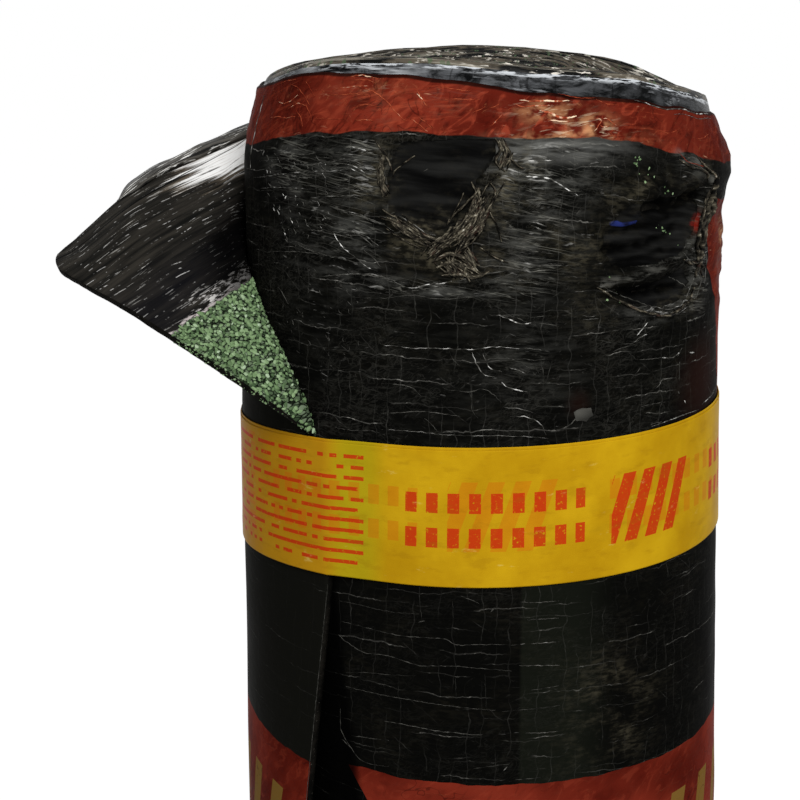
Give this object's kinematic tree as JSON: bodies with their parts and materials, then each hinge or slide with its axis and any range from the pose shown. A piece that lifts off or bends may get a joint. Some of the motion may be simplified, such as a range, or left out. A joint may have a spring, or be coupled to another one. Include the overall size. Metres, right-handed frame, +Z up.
{
  "type": "roll of roofing felt",
  "caption": "Roll of mineral-surfaced bitumen roofing felt on its end, held by a yellow packing tape, its top corner peeled open.",
  "frame": {"origin": "middle of the foot of the whole object's box, on the floor that the roll stands on", "axes": "+Z up along the winding axis, -Y the front with the cut edge at front left, +X to the right"},
  "size_m": [0.283, 0.2078, 1.0083],
  "materials": {
    "felt": "glossy thin film over bitumen",
    "tape": "glossy"
  },
  "bodies": {
    "root": {"felt_roll": "felt", "packing_tape": "tape"}
  },
  "joints": []
}
